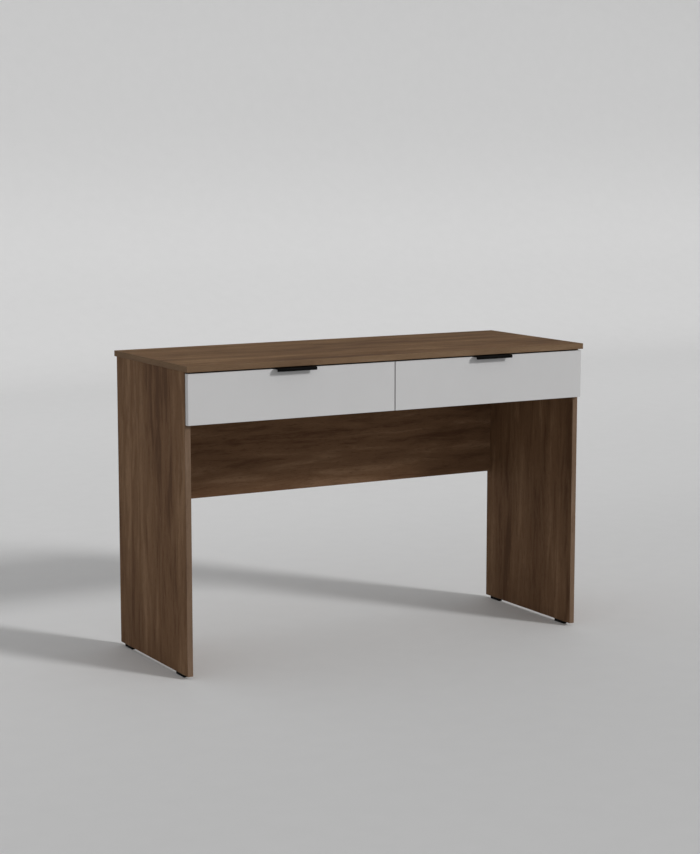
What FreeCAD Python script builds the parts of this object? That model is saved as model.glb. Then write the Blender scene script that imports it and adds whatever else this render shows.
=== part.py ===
"""Console table with two drawers: walnut-foil boards, off-white drawer fronts, black edge pulls.

Millimetres, +Z up, X along the width, the front of the table towards -Y. The origin is on the floor, under
the middle of the overall box, which runs from the lips of the pulls to the back edge of the top.
Each function builds one sub-part with its drawers closed, and main() writes one STEP file per node.
"""
import os

import FreeCAD, Part

from FreeCAD import Vector

# ---- Overall sizes -------------------------------------------------------------------------------------
WIDTH = 1180.0            # the top, end to end
TOP_DEPTH = 450.0         # the top, front to back
HEIGHT = 787.0            # floor to the upper face of the top
BOARD = 15.0              # thickness of every carcass board and of the drawer fronts
BAND = 1.0                # thickness of the edge banding, which is counted in each board's size
BAND_ROUND = 0.7          # rounding of the long outer edges of the banding
FIT = 0.05                # radial play of a fitting in its drilled hole
HOLE_SPARE = 0.5          # how much deeper a blind hole is than what goes into it

# ---- Carcass -------------------------------------------------------------------------------------------
SIDE_INSET = 2.0          # outer face of a side panel, in from the end of the top
SIDE_SETBACK = 19.5       # front edge of a side panel, back from the front edge of the top
SIDE_DEPTH = 420.0
BACK_HEIGHT = 393.0
DIVIDER_HEIGHT = 125.0

# ---- Feet ----------------------------------------------------------------------------------------------
FOOT_HEIGHT = 8.0
FOOT_LENGTH = 48.0
FOOT_WIDTH = 10.0
FOOT_FRONT_INSET = 29.0   # from the front edge of the side panel to the front foot
FOOT_BACK_INSET = 19.0    # from the back edge of the side panel to the rear foot
FOOT_CORNER = 3.0         # rounding of the upright edges
FOOT_EDGE = 1.0           # rounding of the edges on the floor
NAIL_HEAD, NAIL_SHANK = 2.4, 1.0                           # radii
NAIL_LENGTH = 18.0
NAIL_TIP = 2.0            # length of the point
NAIL_SUNK = 2.0           # from the floor to the underside of the head
NAIL_HEAD_DEEP = 1.0
NAIL_WELL = 0.3           # radial play round the head
NAIL_INSET = 12.0         # from each end of a foot to its nail

# ---- Drawer fronts and pulls ---------------------------------------------------------------------------
FRONT_SETBACK = 3.5       # face of a drawer front, back from the front edge of the top
FRONT_END_INSET = 3.5     # outer end of a drawer front, in from the end of the top
FRONT_GAP = 3.0           # between the two drawer fronts
FRONT_TOP_GAP = 4.0       # between the top and the drawer fronts
FRONT_HEIGHT = 127.0
FRONT_EASE = 0.8          # rounding of the edges round the face
PULL_WIDTH = 112.0
PULL_REACH = 19.0         # lip of a pull, forward of the drawer front's face
PULL_SHEET = 2.0
PULL_LIP = 8.0            # height of the lip, with the sheet's thickness
PULL_FLANGE = 20.0        # height of the flange screwed to the back of the drawer front
PULL_BEND = 1.2           # outer radius of the two bends
PULL_SCREW_SPACING = 96.0
PULL_SCREW_DROP = 12.0    # from the top of the drawer front to the screws
PULL_HOLE_PLAY = 0.2

# ---- Drawer boxes --------------------------------------------------------------------------------------
BOX_BOARD = 12.0
BOX_WIDTH = 540.0
BOX_DEPTH = 370.0
BOX_HEIGHT = 90.0
BOX_BOTTOM_Z = 656.0
BOX_EASE = 0.8            # rounding of the top edges
BASE_SHEET = 3.0
GROOVE = 3.2              # height of the groove that holds the base
GROOVE_DEPTH = 6.0
GROOVE_UP = 8.0           # from the lower edge of a drawer side to its groove
BASE_BITE = 5.5           # how far the base reaches into the grooves

# ---- Ball-bearing slides, three rails each -------------------------------------------------------------
RAIL_LENGTH = 350.0
RAIL_FRONT = 2.0          # from the front edge of the side panel to the rails
RAIL_Z = 702.0            # mid-height of every slide
STEEL = 1.0               # thickness of the rails
OUTER_HALF, MIDDLE_HALF, INNER_HALF = 17.5, 12.9, 8.7      # half heights of the three rails
OUTER_REACH = 9.6         # depth of the outer rail's flanges, from the carcass face
OUTER_LIP = 1.5           # lip at the end of each of its flanges
MIDDLE_START, MIDDLE_END = 3.6, 9.6                        # distances from the carcass face
INNER_START = 5.6
CAGE_LENGTH = 120.0
CAGE_START = 100.0        # from the front of the rails to the ball strips
CAGE_SHEET = 0.8
CAGE_MARGIN = 0.75        # strip beside a ball
CAGE_PLAY = 0.15          # radial play of a ball in its strip
BALLS = 6                 # in each row
OUTER_BALL, INNER_BALL = 1.5, 1.3                          # radii
OUTER_BALL_AT, INNER_BALL_AT = 5.8, 7.5                    # distances from the carcass face
RAIL_SCREWS_AT = (25.0, 180.0, 325.0)                      # from the front of the rails
RAIL_HOLE_PLAY = 0.1

# ---- Screws: length under the head, and radii ----------------------------------------------------------
RAIL_SCREW = {"length": 7.5, "shank": 1.7, "head": 3.4, "rise": 1.5}
BOX_RAIL_SCREW = {"length": 10.5, "shank": 1.7, "head": 3.4, "rise": 1.5}
PULL_SCREW = {"length": 14.0, "shank": 1.7, "head": 3.4, "rise": 1.8}
BOX_SCREW = {"length": 40.0, "shank": 2.0, "head": 4.0}
SCREW_TIP = 0.3           # radius of a screw's point
SCREW_TAPER = 3.0         # length of the point, in shank radii

# ---- Cams, bolts, dowels and caps ----------------------------------------------------------------------
CAM_RADIUS = 7.5          # of the pocket
CAM_DEPTH = 12.5
CAM_BACKSET = 34.0        # from the joint to the middle of the cam
CAM_SUNK = 0.3            # face of a cam below the board's face
CAM_FLOOR = 0.2           # gap under a cam
CAM_HOLLOW = 3.6          # radius of the hollow for the bolt's head
CAM_HOLLOW_FROM, CAM_HOLLOW_TO = -4.5, 9.0                 # along the bolt, from the middle of the cam
SLOT_HALF_LENGTH, SLOT_HALF_WIDTH, SLOT_DEPTH = 4.5, 0.7, 1.5
BOX_CAM_DEPTH = 10.0
BOX_CAM_BACKSET = 24.0
BOLT_HEAD, BOLT_NECK, BOLT_SHANK, BOLT_COLLAR = 3.0, 1.9, 2.5, 3.9                 # radii
BOLT_HEAD_FROM, BOLT_HEAD_TO, BOLT_NECK_TO = -1.0, 2.0, 5.0                        # from the cam's middle
BOLT_COLLAR_LENGTH = 3.0
BOLT_THREAD = 11.0        # length of the thread, past the joint
BOLT_POINT = 1.5
DOWEL_RADIUS = 4.0
DOWEL_DEEP = 16.0         # half of a dowel in the board's edge
DOWEL_SHALLOW = 12.0      # half of a dowel in the other board's face
DOWEL_BEVEL = 1.0
CAP_RADIUS = 8.5
CAP_SHEET = 0.8
CAP_ROUND = 0.5

# ---- Places worked out from the sizes above ------------------------------------------------------------
OVERALL_DEPTH = TOP_DEPTH + PULL_REACH - FRONT_SETBACK
TOP_BACK = OVERALL_DEPTH / 2
TOP_FRONT = TOP_BACK - TOP_DEPTH
TOP_UNDER = HEIGHT - BOARD
SIDE_FRONT = TOP_FRONT + SIDE_SETBACK
SIDE_BACK = SIDE_FRONT + SIDE_DEPTH
SIDE_OUT = WIDTH / 2 - SIDE_INSET
SIDE_IN = SIDE_OUT - BOARD
SIDE_MIDDLE = SIDE_IN + BOARD / 2
BACK_FRONT = SIDE_BACK - BOARD
BACK_MIDDLE = BACK_FRONT + BOARD / 2
BACK_BOTTOM = TOP_UNDER - BACK_HEIGHT
DIVIDER_BOTTOM = TOP_UNDER - DIVIDER_HEIGHT
FACE = TOP_FRONT + FRONT_SETBACK
FACE_BACK = FACE + BOARD
FACE_TOP = TOP_UNDER - FRONT_TOP_GAP
FACE_BOTTOM = FACE_TOP - FRONT_HEIGHT
FACE_OUT = WIDTH / 2 - FRONT_END_INSET
BAY_MIDDLE = (SIDE_IN + BOARD / 2) / 2
SLIDE_WIDTH = (SIDE_IN - BOARD / 2 - BOX_WIDTH) / 2
RAILS_Y = SIDE_FRONT + RAIL_FRONT
BOX_TOP = BOX_BOTTOM_Z + BOX_HEIGHT
BOX_BACK = FACE_BACK + BOX_DEPTH
BASE_Z = BOX_BOTTOM_Z + GROOVE_UP

CAMS_TOP_Y = (-130.0, 150.0)                # cams along the top edge of each side panel
CAMS_BACK_X = (-290.0, 290.0)               # cams along the top edge of the back panel
CAMS_BACK_Z = (BACK_BOTTOM + 50.0, TOP_UNDER - 80.0)       # and down its two ends
CAMS_DIVIDER_Y = (-120.0, 120.0)            # cams along the top edge of the divider
CAM_DIVIDER_Z = TOP_UNDER - 90.0            # and on its rear edge
DOWELS_TOP_Y = (-165.0, 10.0, 190.0)
DOWELS_BACK_X = (-430.0, -140.0, 140.0, 430.0)
DOWELS_BACK_Z = (BACK_BOTTOM + 120.0, TOP_UNDER - 140.0)
DOWELS_DIVIDER_Y = (-160.0, 0.0, 160.0)
BOX_CAMS_Z = (BOX_BOTTOM_Z + 26.0, BOX_BOTTOM_Z + 70.0)
BOX_SCREWS_Z = (BOX_BOTTOM_Z + 30.0, BOX_TOP - 18.0)

X, Y, Z = Vector(1, 0, 0), Vector(0, 1, 0), Vector(0, 0, 1)
DRAWERS = {"left": -1.0, "right": 1.0}
SEAM_TURN = 33.0          # degrees that each round tool is turned, to keep its seam off the main planes
PAST = 1.0                # how far a cutting tool runs past the face that it opens
NEAR = 1e-6               # two lengths closer than this are equal


# ---- Small builders ------------------------------------------------------------------------------------
def block(x0, x1, y0, y1, z0, z1):
    """A box between two limits on each axis, given in either order."""
    low = Vector(min(x0, x1), min(y0, y1), min(z0, z1))
    return Part.makeBox(abs(x1 - x0), abs(y1 - y0), abs(z1 - z0), low)


def rod(radius, start, end):
    """A cylinder from one point to another."""
    cylinder = Part.makeCylinder(radius, (end - start).Length, start, end - start)
    cylinder.rotate(start, end - start, SEAM_TURN)
    return cylinder


def turned(profile, start, direction):
    """A solid of revolution along direction from start; profile lists (distance, radius) points."""
    points = [Vector(profile[0][0], 0, 0)]
    points += [Vector(along, radius, 0) for along, radius in profile]
    points += [Vector(profile[-1][0], 0, 0), points[0]]
    solid = Part.Face(Part.makePolygon(points)).revolve(Vector(0, 0, 0), X, 360)
    solid.Placement = FreeCAD.Placement(start, FreeCAD.Rotation(X, direction))
    solid.rotate(start, direction, SEAM_TURN)
    return solid


def rounded(shape, radius, wanted):
    """The shape with those of its edges rounded for which wanted(edge) is true."""
    return shape.makeFillet(radius, [edge for edge in shape.Edges if wanted(edge)])


def drilled(shape, holes):
    """The shape with the holes cut out."""
    return shape.cut(Part.makeCompound(holes))


def lies_at(edge, axis, value):
    """True if the edge lies in the plane where that axis has that value."""
    return all(abs(getattr(vertex.Point, axis) - value) < NEAR for vertex in edge.Vertexes)


def band(x0, x1, y0, y1, z0, z1, axis, outer):
    """A strip of edge banding whose long edges are rounded on its outer face, where axis is outer."""
    strip = block(x0, x1, y0, y1, z0, z1)
    longest = max(edge.Length for edge in strip.Edges)
    return rounded(strip, BAND_ROUND, lambda e: lies_at(e, axis, outer) and e.Length > longest - NEAR)


# ---- Screws --------------------------------------------------------------------------------------------
def sunk_screw(start, direction, length, shank, head):
    """A countersunk chipboard screw; start is the middle of its head, flush with the board."""
    profile = [(0, head), (head - shank, shank), (length - SCREW_TAPER * shank, shank),
               (length, SCREW_TIP)]
    return turned(profile, start, direction)


def sunk_hole(start, direction, length, shank, head):
    """The hole for a countersunk screw."""
    widest, narrow = head + FIT, shank + FIT
    profile = [(-PAST, widest + PAST), (widest - narrow, narrow), (length + HOLE_SPARE, narrow)]
    return turned(profile, start, direction)


def pan_screw(start, direction, length, shank, head, rise):
    """A pan-head screw; start is the middle of the underside of its head."""
    profile = [(-rise, head * 0.7), (-rise * 0.6, head), (0, head), (0, shank),
               (length - SCREW_TAPER * shank, shank), (length, SCREW_TIP)]
    return turned(profile, start, direction)


def pilot(start, direction, length, shank):
    """The hole for a pan-head screw, from the face that it is driven into."""
    return rod(shank + FIT, start - direction * PAST, start + direction * (length + HOLE_SPARE))


# ---- Cam fittings and dowels ---------------------------------------------------------------------------
class CamJoint:
    """A cam in one board's face that draws in a bolt screwed into the other board."""

    def __init__(self, joint, into, face, backset=CAM_BACKSET, depth=CAM_DEPTH, board=BOARD):
        """joint: the middle of the edge; into: towards the other board; face: out of the cam's mouth."""
        self.joint, self.into, self.face = joint, into, face
        self.backset, self.depth = backset, depth
        self.mouth = joint - into * backset + face * (board / 2)

    def along(self, distance):
        """The point at that distance past the joint, on the bolt's line."""
        return self.joint + self.into * distance

    def holes_in_cam_board(self):
        """The cam's pocket and the hole in the board's edge."""
        pocket = rod(CAM_RADIUS, self.mouth - self.face * self.depth, self.mouth + self.face * PAST)
        return [pocket, rod(BOLT_COLLAR + FIT, self.along(-self.backset), self.along(PAST))]

    def hole_in_bolt_board(self):
        """The pilot hole for the bolt's thread."""
        return rod(BOLT_SHANK + FIT, self.along(-PAST), self.along(BOLT_THREAD + HOLE_SPARE))

    def bolt(self):
        """The bolt: a head held by the cam, a neck, a shank, a collar and the thread."""
        cam = -self.backset
        profile = [(cam + BOLT_HEAD_FROM, BOLT_HEAD), (cam + BOLT_HEAD_TO, BOLT_HEAD),
                   (cam + BOLT_HEAD_TO, BOLT_NECK), (cam + BOLT_NECK_TO, BOLT_NECK),
                   (cam + BOLT_NECK_TO, BOLT_SHANK), (-BOLT_COLLAR_LENGTH, BOLT_SHANK),
                   (-BOLT_COLLAR_LENGTH, BOLT_COLLAR), (0, BOLT_COLLAR), (0, BOLT_SHANK),
                   (BOLT_THREAD - BOLT_POINT, BOLT_SHANK), (BOLT_THREAD, BOLT_SHANK / 2)]
        return turned(profile, self.joint, self.into)

    def cam(self):
        """The cam: a drum with a cross slot in its face and a hollow that the bolt's head enters."""
        top = self.mouth - self.face * CAM_SUNK
        drum = rod(CAM_RADIUS - FIT, self.mouth - self.face * (self.depth - CAM_FLOOR), top)
        hollow = rod(CAM_HOLLOW, self.along(CAM_HOLLOW_FROM - self.backset),
                     self.along(CAM_HOLLOW_TO - self.backset))
        across = self.face.cross(self.into)
        return drilled(drum, [self.slot(top, self.into), self.slot(top, across), hollow])

    def slot(self, top, arm):
        """One arm of the screwdriver slot in the cam's face."""
        side = self.face.cross(arm)
        corners = [top + self.face * PAST + arm * (a * SLOT_HALF_LENGTH) + side * (s * SLOT_HALF_WIDTH)
                   for a, s in ((-1, -1), (1, -1), (1, 1), (-1, 1), (-1, -1))]
        return Part.Face(Part.makePolygon(corners)).extrude(self.face * -(SLOT_DEPTH + PAST))

    def cap(self):
        """The cover cap: a thin disc with a rounded rim, stuck over the pocket."""
        disc = rod(CAP_RADIUS, self.mouth, self.mouth + self.face * CAP_SHEET)
        return rounded(disc, CAP_ROUND, lambda e: e.Closed and self.height(e.CenterOfMass) > NEAR)

    def height(self, point):
        """How far a point is out of the board's face."""
        return (point - self.mouth).dot(self.face)


class Dowel:
    """A beech dowel across a joint: into points from the edge of one board to the face of the other."""

    def __init__(self, joint, into):
        self.joint, self.into = joint, into

    def hole_in_edge_board(self):
        """The hole in the board whose edge meets the other."""
        end = self.joint - self.into * (DOWEL_DEEP + HOLE_SPARE)
        return rod(DOWEL_RADIUS + FIT, end, self.joint + self.into * PAST)

    def hole_in_face_board(self):
        """The hole in the board whose face is met."""
        end = self.joint + self.into * (DOWEL_SHALLOW + HOLE_SPARE)
        return rod(DOWEL_RADIUS + FIT, self.joint - self.into * PAST, end)

    def peg(self):
        """The dowel itself, with bevelled ends."""
        small = DOWEL_RADIUS - DOWEL_BEVEL
        profile = [(-DOWEL_DEEP, small), (DOWEL_BEVEL - DOWEL_DEEP, DOWEL_RADIUS),
                   (DOWEL_SHALLOW - DOWEL_BEVEL, DOWEL_RADIUS), (DOWEL_SHALLOW, small)]
        return turned(profile, self.joint, self.into)


def carcass_cams():
    """The cam joints of the carcass, by the board that holds the cams."""
    joints = {"left": [], "right": [], "back": [], "divider": []}
    for name, sign in DRAWERS.items():
        for y in CAMS_TOP_Y:
            joints[name].append(CamJoint(Vector(sign * SIDE_MIDDLE, y, TOP_UNDER), Z, X * -sign))
        for z in CAMS_BACK_Z:
            joints["back"].append(CamJoint(Vector(sign * SIDE_IN, BACK_MIDDLE, z), X * sign, Y))
    for x in CAMS_BACK_X:
        joints["back"].append(CamJoint(Vector(x, BACK_MIDDLE, TOP_UNDER), Z, Y))
    for y in CAMS_DIVIDER_Y:
        joints["divider"].append(CamJoint(Vector(0, y, TOP_UNDER), Z, X))
    joints["divider"].append(CamJoint(Vector(0, BACK_FRONT, CAM_DIVIDER_Z), Y, X))
    return joints


def carcass_dowels():
    """The dowels of the carcass, by the board whose edge they enter."""
    dowels = {"left": [], "right": [], "back": [], "divider": []}
    for name, sign in DRAWERS.items():
        dowels[name] += [Dowel(Vector(sign * SIDE_MIDDLE, y, TOP_UNDER), Z) for y in DOWELS_TOP_Y]
        dowels["back"] += [Dowel(Vector(sign * SIDE_IN, BACK_MIDDLE, z), X * sign) for z in DOWELS_BACK_Z]
    dowels["back"] += [Dowel(Vector(x, BACK_MIDDLE, TOP_UNDER), Z) for x in DOWELS_BACK_X]
    dowels["divider"] += [Dowel(Vector(0, y, TOP_UNDER), Z) for y in DOWELS_DIVIDER_Y]
    return dowels


CAMS = carcass_cams()
DOWELS = carcass_dowels()


def edge_holes(board):
    """Every hole that a board's own cams and dowels need in it."""
    holes = [hole for joint in CAMS[board] for hole in joint.holes_in_cam_board()]
    return holes + [dowel.hole_in_edge_board() for dowel in DOWELS[board]]


def face_holes(into):
    """The holes for every bolt and dowel that crosses a joint in that direction."""
    cams = [joint for joints in CAMS.values() for joint in joints if joint.into.dot(into) > 1 - NEAR]
    dowels = [dowel for pegs in DOWELS.values() for dowel in pegs if dowel.into.dot(into) > 1 - NEAR]
    return [j.hole_in_bolt_board() for j in cams] + [d.hole_in_face_board() for d in dowels]


# ---- Slides --------------------------------------------------------------------------------------------
class Slide:
    """One ball-bearing slide: face is the X of the carcass face, towards points from it to the drawer."""

    def __init__(self, face, towards):
        self.face, self.towards = face, towards

    def at(self, distance):
        """The X of the place at that distance from the carcass face."""
        return self.face + self.towards * distance

    def channel(self, start, end, half, web_at_start):
        """A rail of channel section between two distances from the carcass face."""
        y0, y1 = RAILS_Y, RAILS_Y + RAIL_LENGTH
        outside = block(self.at(start), self.at(end), y0, y1, RAIL_Z - half, RAIL_Z + half)
        web = self.at(start if web_at_start else end)
        bends = rounded(outside, STEEL, lambda e: lies_at(e, "x", web) and e.Length > RAIL_LENGTH - NEAR)
        shift = STEEL if web_at_start else -STEEL
        hollow = block(self.at(start + shift), self.at(end + shift), y0 - PAST, y1 + PAST,
                       RAIL_Z - half + STEEL, RAIL_Z + half - STEEL)
        return bends.cut(hollow)

    def screw_points(self, distance):
        """The places of a rail's screws, at that distance from the carcass face."""
        return [Vector(self.at(distance), RAILS_Y + along, RAIL_Z) for along in RAIL_SCREWS_AT]

    def screw_holes(self, rail, distance, screw):
        """The rail with its screw holes."""
        radius = screw["shank"] + RAIL_HOLE_PLAY
        return drilled(rail, [rod(radius, p - X * (STEEL + PAST), p + X * (STEEL + PAST))
                              for p in self.screw_points(distance)])

    def outer_rail(self):
        """The rail that stays on the carcass, with lips that keep the ball strips in."""
        rail = self.channel(0, OUTER_REACH, OUTER_HALF, True)
        lips = []
        for up in (-1, 1):
            z = RAIL_Z + up * (OUTER_HALF - STEEL)
            lips.append(block(self.at(OUTER_REACH - STEEL), self.at(OUTER_REACH), RAILS_Y,
                              RAILS_Y + RAIL_LENGTH, z, z - up * OUTER_LIP))
        return self.screw_holes(rail.fuse(lips).removeSplitter(), STEEL / 2, RAIL_SCREW)

    def middle_rail(self):
        """The rail between the other two."""
        return self.channel(MIDDLE_START, MIDDLE_END, MIDDLE_HALF, True)

    def inner_rail(self):
        """The rail on the drawer."""
        rail = self.channel(INNER_START, SLIDE_WIDTH, INNER_HALF, False)
        return self.screw_holes(rail, SLIDE_WIDTH - STEEL / 2, BOX_RAIL_SCREW)

    def carcass_screws(self):
        """The screws of the outer rail."""
        return [pan_screw(p, X * -self.towards, **RAIL_SCREW) for p in self.screw_points(STEEL)]

    def carcass_holes(self):
        """The holes for the screws of the outer rail."""
        deep = RAIL_SCREW["length"] - STEEL
        return [pilot(p, X * -self.towards, deep, RAIL_SCREW["shank"]) for p in self.screw_points(0)]

    def box_screws(self):
        """The screws of the inner rail."""
        points = self.screw_points(SLIDE_WIDTH - STEEL)
        return [pan_screw(p, X * self.towards, **BOX_RAIL_SCREW) for p in points]

    def box_holes(self):
        """The holes for the screws of the inner rail."""
        deep = BOX_RAIL_SCREW["length"] - STEEL
        points = self.screw_points(SLIDE_WIDTH)
        return [pilot(p, X * self.towards, deep, BOX_RAIL_SCREW["shank"]) for p in points]

    def ball_strips(self, stage):
        """The two perforated strips of a stage, above and below, with their balls."""
        if stage == "outer":
            radius, distance, level = OUTER_BALL, OUTER_BALL_AT, (OUTER_HALF - STEEL + MIDDLE_HALF) / 2
        else:
            radius, distance, level = INNER_BALL, INNER_BALL_AT, (MIDDLE_HALF - STEEL + INNER_HALF) / 2
        pitch, start = CAGE_LENGTH / BALLS, RAILS_Y + CAGE_START
        x, half = self.at(distance), radius + CAGE_MARGIN
        solids = []
        for up in (-1, 1):
            z = RAIL_Z + up * level
            row = [Vector(x, start + (i + 0.5) * pitch, z) for i in range(BALLS)]
            strip = block(x - half, x + half, start, start + CAGE_LENGTH, z - CAGE_SHEET / 2,
                          z + CAGE_SHEET / 2)
            solids.append(drilled(strip, [rod(radius + CAGE_PLAY, p - Z, p + Z) for p in row]))
            solids += [Part.makeSphere(radius, p) for p in row]
        return solids


def slides(name):
    """The two slides of a drawer, the left one first."""
    faces = sorted((DRAWERS[name] * SIDE_IN, DRAWERS[name] * BOARD / 2))
    return [Slide(faces[0], 1.0), Slide(faces[1], -1.0)]


# ---- Carcass boards ------------------------------------------------------------------------------------
def top_panel():
    """The top, without its banding, drilled from below for bolts and dowels."""
    half = WIDTH / 2 - BAND
    board = block(-half, half, TOP_FRONT + BAND, TOP_BACK - BAND, TOP_UNDER, HEIGHT)
    return drilled(board, face_holes(Z))


def top_panel_edge_bands():
    """The banding round the top: long strips at the front and back, short ones between them."""
    half, low, high = WIDTH / 2, TOP_UNDER, HEIGHT
    y0, y1 = TOP_FRONT + BAND, TOP_BACK - BAND
    return [band(-half, half, TOP_FRONT, y0, low, high, "y", TOP_FRONT),
            band(-half, half, y1, TOP_BACK, low, high, "y", TOP_BACK),
            band(-half, -half + BAND, y0, y1, low, high, "x", -half),
            band(half - BAND, half, y0, y1, low, high, "x", half)]


def side_panel(name):
    """A side panel, without its banding, with every hole of its inner face and top and bottom edges."""
    sign = DRAWERS[name]
    board = block(sign * SIDE_IN, sign * SIDE_OUT, SIDE_FRONT + BAND, SIDE_BACK - BAND,
                  FOOT_HEIGHT + BAND, TOP_UNDER)
    outside = slides(name)[0 if name == "left" else 1]
    holes = edge_holes(name) + face_holes(X * sign) + outside.carcass_holes()
    return drilled(board, holes + [hole for y in foot_places() for hole in nail_holes(sign, y)])


def side_panel_edge_bands(name):
    """The banding on the front, back and bottom edges of a side panel."""
    sign = DRAWERS[name]
    x0, x1, low = sign * SIDE_IN, sign * SIDE_OUT, FOOT_HEIGHT
    front = band(x0, x1, SIDE_FRONT, SIDE_FRONT + BAND, low, TOP_UNDER, "y", SIDE_FRONT)
    back = band(x0, x1, SIDE_BACK - BAND, SIDE_BACK, low, TOP_UNDER, "y", SIDE_BACK)
    bottom = band(x0, x1, SIDE_FRONT + BAND, SIDE_BACK - BAND, low, low + BAND, "z", low)
    return [front, back, drilled(bottom, [hole for y in foot_places() for hole in nail_holes(sign, y)])]


def back_panel():
    """The back panel between the side panels, flush with their back edges."""
    board = block(-SIDE_IN, SIDE_IN, BACK_FRONT, SIDE_BACK, BACK_BOTTOM + BAND, TOP_UNDER)
    return drilled(board, edge_holes("back") + face_holes(Y))


def back_panel_edge_band():
    """The banding on the bottom edge of the back panel."""
    low = BACK_BOTTOM
    return band(-SIDE_IN, SIDE_IN, BACK_FRONT, SIDE_BACK, low, low + BAND, "z", low)


def centre_divider():
    """The short board between the drawers, hung under the top."""
    half = BOARD / 2
    board = block(-half, half, SIDE_FRONT + BAND, BACK_FRONT, DIVIDER_BOTTOM + BAND, TOP_UNDER)
    rails = slides("left")[1].carcass_holes() + slides("right")[0].carcass_holes()
    return drilled(board, edge_holes("divider") + rails)


def centre_divider_edge_bands():
    """The banding on the front and bottom edges of the divider."""
    half, low = BOARD / 2, DIVIDER_BOTTOM
    front = band(-half, half, SIDE_FRONT, SIDE_FRONT + BAND, low, TOP_UNDER, "y", SIDE_FRONT)
    return [front, band(-half, half, SIDE_FRONT + BAND, BACK_FRONT, low, low + BAND, "z", low)]


# ---- Feet ----------------------------------------------------------------------------------------------
def foot_places():
    """The Y of the front end of the front foot and of the rear foot."""
    return (SIDE_FRONT + FOOT_FRONT_INSET, SIDE_BACK - FOOT_BACK_INSET - FOOT_LENGTH)


def nail_points(sign, y):
    """The undersides of the heads of a foot's two nails."""
    return [Vector(sign * SIDE_MIDDLE, y + along, NAIL_SUNK)
            for along in (NAIL_INSET, FOOT_LENGTH - NAIL_INSET)]


def nail_holes(sign, y):
    """The holes that a foot's nails make in the board above it."""
    return [rod(NAIL_SHANK + FIT, Vector(p.x, p.y, FOOT_HEIGHT - PAST), p + Z * (NAIL_LENGTH + HOLE_SPARE))
            for p in nail_points(sign, y)]


def foot(sign, y):
    """A moulded glide with rounded corners and two wells for its nails."""
    x, half = sign * SIDE_MIDDLE, FOOT_WIDTH / 2
    body = block(x - half, x + half, y, y + FOOT_LENGTH, 0, FOOT_HEIGHT)
    body = rounded(body, FOOT_CORNER, lambda e: abs(e.Length - FOOT_HEIGHT) < NEAR)
    body = rounded(body, FOOT_EDGE, lambda e: lies_at(e, "z", 0))
    wells = []
    for point in nail_points(sign, y):
        wells.append(rod(NAIL_HEAD + NAIL_WELL, point - Z * (NAIL_SUNK + PAST), point + Z * NAIL_HEAD_DEEP))
        wells.append(rod(NAIL_SHANK + FIT, point, point + Z * (FOOT_HEIGHT + PAST - NAIL_SUNK)))
    return drilled(body, wells)


def foot_nails():
    """The nails of all four feet."""
    profile = [(0, NAIL_HEAD), (NAIL_HEAD_DEEP, NAIL_HEAD), (NAIL_HEAD_DEEP, NAIL_SHANK),
               (NAIL_LENGTH - NAIL_TIP, NAIL_SHANK), (NAIL_LENGTH, SCREW_TIP)]
    return [turned(profile, point, Z) for sign in DRAWERS.values() for y in foot_places()
            for point in nail_points(sign, y)]


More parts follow.
